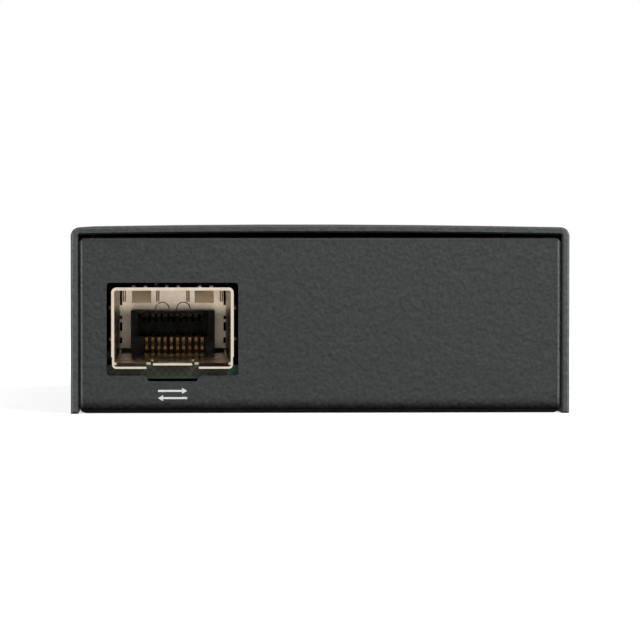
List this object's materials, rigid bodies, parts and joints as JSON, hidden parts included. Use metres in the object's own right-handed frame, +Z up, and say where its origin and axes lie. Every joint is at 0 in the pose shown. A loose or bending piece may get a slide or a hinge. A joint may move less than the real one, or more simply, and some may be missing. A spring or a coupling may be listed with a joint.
{
  "type": "fibre media converter",
  "caption": "Small coated steel box with a fibre transceiver cage at the front, a copper network socket and a barrel power inlet at the rear.",
  "frame": {"origin": "centre of the bounding box's base, on the face it stands on", "axes": "+Z up, -Y out through the panel with the fibre port, +X to the right when that panel is seen from outside"},
  "size_m": [0.06, 0.082, 0.0226],
  "materials": {
    "coated_steel": "fine powder coat, satin",
    "zinc_screw": "bright zinc",
    "black_screw": "black zinc",
    "board_laminate": "solder mask over glass laminate",
    "tin_plate": "satin tin plate",
    "spring_alloy": "satin nickel plate",
    "black_moulding": "satin moulded",
    "gold_contact": "gold flash",
    "light_green": "clear tinted",
    "chip_body": "moulded epoxy",
    "tinned_lead": "tinned",
    "crystal_can": "drawn nickel silver",
    "aluminium_can": "satin",
    "ferrite": "sintered",
    "ceramic_tan": "sintered",
    "resistor_black": "glazed"
  },
  "bodies": {
    "root": {"chassis": "coated_steel", "top_cover": "coated_steel", "cover_screws": "black_screw", "board_standoffs": "zinc_screw", "board_screws": "zinc_screw", "main_board": "board_laminate", "sfp_cage": "tin_plate", "sfp_emi_collar": "spring_alloy", "sfp_connector": "black_moulding", "sfp_contacts_lower": "gold_contact", "sfp_contacts_upper": "gold_contact", "rj45_shield": "tin_plate", "rj45_housing": "black_moulding", "rj45_contacts": "gold_contact", "rj45_lights": "light_green", "dc_jack_housing": "black_moulding", "dc_jack_pin": "tinned_lead", "dc_jack_spring": "spring_alloy", "lamp_holder": "black_moulding", "lamp_lenses": "light_green", "converter_chip": "chip_body", "memory_chip": "chip_body", "regulator_chip": "chip_body", "chip_leads": "tinned_lead", "magnetics_module": "chip_body", "magnetics_leads": "tinned_lead", "crystal": "crystal_can", "electrolytic_cans": "aluminium_can", "electrolytic_bases": "black_moulding", "power_inductor": "ferrite", "ceramic_capacitors": "ceramic_tan", "chip_resistors": "resistor_black"}
  },
  "joints": []
}
